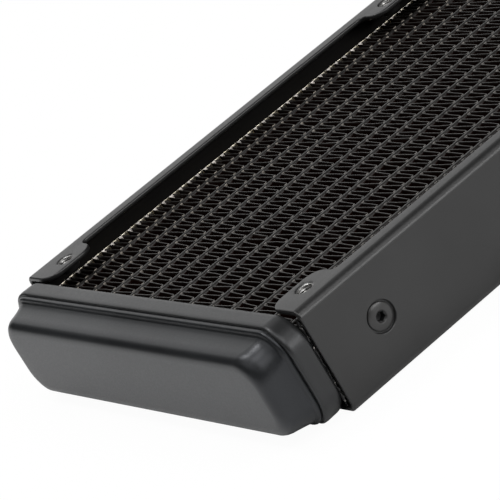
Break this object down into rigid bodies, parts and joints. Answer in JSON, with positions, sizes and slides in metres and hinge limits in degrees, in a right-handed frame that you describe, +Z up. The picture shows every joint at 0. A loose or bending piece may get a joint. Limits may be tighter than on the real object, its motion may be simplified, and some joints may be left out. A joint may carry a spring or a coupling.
{
  "type": "liquid cooling radiator",
  "caption": "Slim black water-cooling radiator: soldered tube and fin core between pressed end tanks, with folded side panels for fan screws and threaded ports in one tank.",
  "frame": {"origin": "middle of the footprint, on the surface the radiator lies on", "axes": "+Z up through the fan face, +Y along the length from the plain return tank to the port tank, +X to the right across the width"},
  "size_m": [0.12, 0.2796, 0.025],
  "materials": {
    "tank_paint": "satin black paint",
    "header_paint": "satin black paint",
    "panel_paint": "fine-grained matte black powder coat",
    "tube_paint": "thin matte black paint over brass",
    "fin_paint": "thin matte black paint over copper foil",
    "tinned_strip": "bare tinned metal",
    "bushing_metal": "satin black with a worn thread",
    "bare_brass": "plain",
    "screw_steel": "black oxide, satin"
  },
  "bodies": {
    "root": {"return_tank": "tank_paint", "port_tank": "tank_paint", "return_header": "header_paint", "port_header": "header_paint", "port_divider": "bare_brass", "port_bushing_left": "bushing_metal", "port_bushing_right": "bushing_metal", "side_panel_left": "panel_paint", "side_panel_right": "panel_paint", "core_plate_left": "tinned_strip", "core_plate_right": "tinned_strip", "nut_plates_left": "bare_brass", "nut_plates_right": "bare_brass", "panel_screws_left": "screw_steel", "panel_screws_right": "screw_steel", "tube_01": "tube_paint", "tube_02": "tube_paint", "tube_03": "tube_paint", "tube_04": "tube_paint", "tube_05": "tube_paint", "tube_06": "tube_paint", "tube_07": "tube_paint", "tube_08": "tube_paint", "tube_09": "tube_paint", "tube_10": "tube_paint", "tube_11": "tube_paint", "tube_12": "tube_paint", "fin_strip_01": "fin_paint", "fin_strip_02": "fin_paint", "fin_strip_03": "fin_paint", "fin_strip_04": "fin_paint", "fin_strip_05": "fin_paint", "fin_strip_06": "fin_paint", "fin_strip_07": "fin_paint", "fin_strip_08": "fin_paint", "fin_strip_09": "fin_paint", "fin_strip_10": "fin_paint", "fin_strip_11": "fin_paint", "fin_strip_12": "fin_paint", "fin_strip_13": "fin_paint"}
  },
  "joints": []
}
